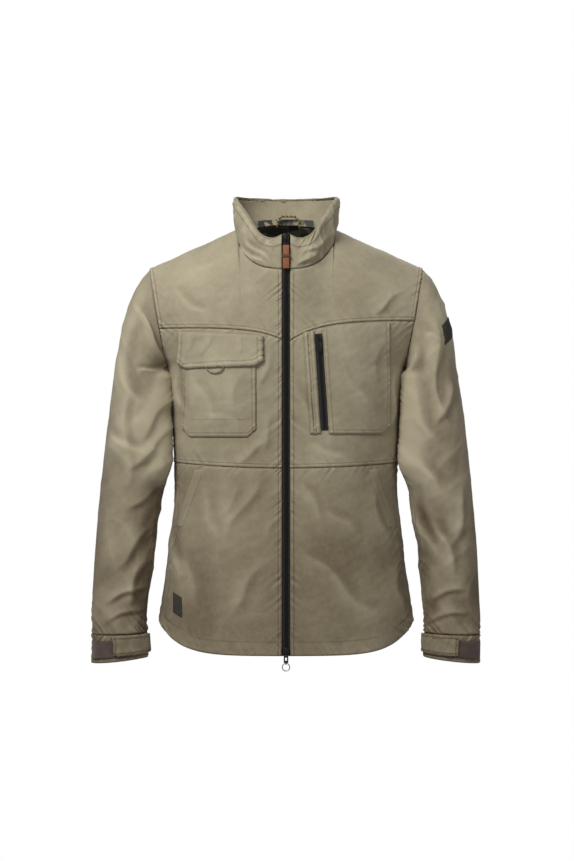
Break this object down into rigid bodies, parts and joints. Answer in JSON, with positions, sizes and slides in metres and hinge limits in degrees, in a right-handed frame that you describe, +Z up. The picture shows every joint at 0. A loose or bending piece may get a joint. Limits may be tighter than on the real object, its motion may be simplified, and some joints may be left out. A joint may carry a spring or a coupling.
{
  "type": "field jacket",
  "caption": "Zip-front khaki twill field jacket with stand collar, flap and zip chest pockets, hand pockets and tabbed cuffs, shown in worn shape",
  "frame": {"origin": "centre of the neck base, level with the side neck points less 29 mm, on the plane of the side seams", "axes": "+Z up along the wearer, -Y out of the front, +X to the wearer's left"},
  "size_m": [0.6936, 0.2692, 0.8347],
  "materials": {
    "twill_shell": "washed khaki cotton twill",
    "twill_upper": "washed khaki cotton twill, sun side",
    "twill_sleeve": "washed khaki cotton twill, sleeve",
    "lining_print": "woven lining, camouflage print",
    "zip_tape": "black polyester tape",
    "zip_teeth": "black moulded teeth",
    "black_metal": "black lacquered zinc",
    "steel_ring": "nickel wire",
    "tan_leather": "vegetable tanned",
    "loop_pile": "brown loop pile and hook tape",
    "woven_badge": "plain dark woven patch",
    "twisted_cord": "tan and black twisted cord"
  },
  "bodies": {
    "shell": {"lower_front_right": "twill_shell", "chest_panel_right": "twill_upper", "front_yoke_right": "twill_upper", "side_panel_right": "twill_shell", "lining_front_right": "lining_print", "lower_front_left": "twill_shell", "chest_panel_left": "twill_upper", "front_yoke_left": "twill_upper", "side_panel_left": "twill_shell", "lining_front_left": "lining_print", "back_panel_lower": "twill_shell", "back_panel_upper": "twill_upper", "back_yoke": "twill_upper", "lining_back": "lining_print", "collar_outer": "twill_upper", "collar_inner": "twill_upper", "flap_pocket_patch": "twill_shell", "zip_pocket_patch": "twill_shell", "zip_pocket_facing": "twill_shell", "hand_pocket_welt_right": "twill_shell", "hand_pocket_bag_right": "lining_print", "hand_pocket_welt_left": "twill_shell", "hand_pocket_bag_left": "lining_print", "hem_badge": "woven_badge", "neck_label": "woven_badge", "hanger_loop": "twisted_cord", "zip_tape_right": "zip_tape", "zip_tape_left": "zip_tape", "zip_chain": "zip_teeth", "pocket_zip_tape": "zip_tape", "pocket_zip_chain": "zip_teeth"},
    "pocket_flap": {"pocket_flap": "twill_shell", "flap_hook_patch": "loop_pile", "flap_pull_loop": "twisted_cord"},
    "top_slider": {"top_slider_body": "black_metal"},
    "leather_pull": {"top_pull_frame": "black_metal", "leather_pull_upper": "tan_leather", "leather_pull_lower": "tan_leather"},
    "bottom_slider": {"bottom_slider_body": "black_metal"},
    "bottom_pull": {"bottom_pull": "black_metal"},
    "pull_ring": {"bottom_pull_ring": "steel_ring"},
    "pocket_slider": {"pocket_slider_body": "black_metal"},
    "pocket_pull": {"pocket_pull": "black_metal"},
    "sleeve_right": {"sleeve_top_right": "twill_sleeve", "sleeve_under_right": "twill_sleeve", "cuff_right": "twill_sleeve", "sleeve_lining_right": "lining_print", "loop_strip_right": "loop_pile"},
    "cuff_tab_right": {"cuff_tab_right": "twill_sleeve"},
    "sleeve_left": {"sleeve_top_left": "twill_sleeve", "sleeve_under_left": "twill_sleeve", "cuff_left": "twill_sleeve", "sleeve_lining_left": "lining_print", "loop_strip_left": "loop_pile", "sleeve_badge": "woven_badge"},
    "cuff_tab_left": {"cuff_tab_left": "twill_sleeve"}
  },
  "joints": [
    {"name": "top_slider_slide", "type": "slide", "parent": "shell", "child": "top_slider", "axis": [0, -0.0478, -0.9989], "range_m": [0, 0.4]},
    {"name": "leather_pull_swing", "type": "hinge", "parent": "top_slider", "child": "leather_pull", "pos_m": [0, -0.10974, 0.00392], "axis": [-1, 0, 0], "range_deg": [0, 150]},
    {"name": "bottom_slider_slide", "type": "slide", "parent": "shell", "child": "bottom_slider", "axis": [0, 0.0478, 0.9989], "range_m": [0, 0.22]},
    {"name": "bottom_pull_swing", "type": "hinge", "parent": "bottom_slider", "child": "bottom_pull", "pos_m": [0, -0.14403, -0.7131], "axis": [-1, 0, 0], "range_deg": [0, 150]},
    {"name": "pull_ring_swing", "type": "hinge", "parent": "bottom_pull", "child": "pull_ring", "pos_m": [0, -0.14494, -0.73228], "axis": [-1, 0, 0], "range_deg": [-40, 40]},
    {"name": "pocket_slider_slide", "type": "slide", "parent": "shell", "child": "pocket_slider", "axis": [0.0653, -0.0411, -0.997], "range_m": [0, 0.12]},
    {"name": "pocket_pull_swing", "type": "hinge", "parent": "pocket_slider", "child": "pocket_pull", "pos_m": [0.0574, -0.1181, -0.16975], "axis": [-0.9912, -0.1179, -0.06], "range_deg": [0, 150]},
    {"name": "pocket_flap_lift", "type": "hinge", "parent": "shell", "child": "pocket_flap", "pos_m": [-0.11511, -0.10822, -0.16163], "axis": [-0.9752, 0.2148, 0.0539], "range_deg": [0, 110]},
    {"name": "sleeve_right_raise", "type": "hinge", "parent": "shell", "child": "sleeve_right", "pos_m": [-0.245, 0, -0.042], "axis": [0, 1, 0], "range_deg": [0, 35]},
    {"name": "sleeve_left_raise", "type": "hinge", "parent": "shell", "child": "sleeve_left", "pos_m": [0.245, 0, -0.042], "axis": [0, -1, 0], "range_deg": [0, 35]},
    {"name": "cuff_tab_right_open", "type": "hinge", "parent": "sleeve_right", "child": "cuff_tab_right", "pos_m": [-0.23981, -0.04133, -0.70931], "axis": [-0.0464, 0, 0.9989], "range_deg": [0, 60]},
    {"name": "cuff_tab_left_open", "type": "hinge", "parent": "sleeve_left", "child": "cuff_tab_left", "pos_m": [0.23981, -0.04133, -0.70931], "axis": [-0.0464, 0, -0.9989], "range_deg": [0, 60]}
  ]
}
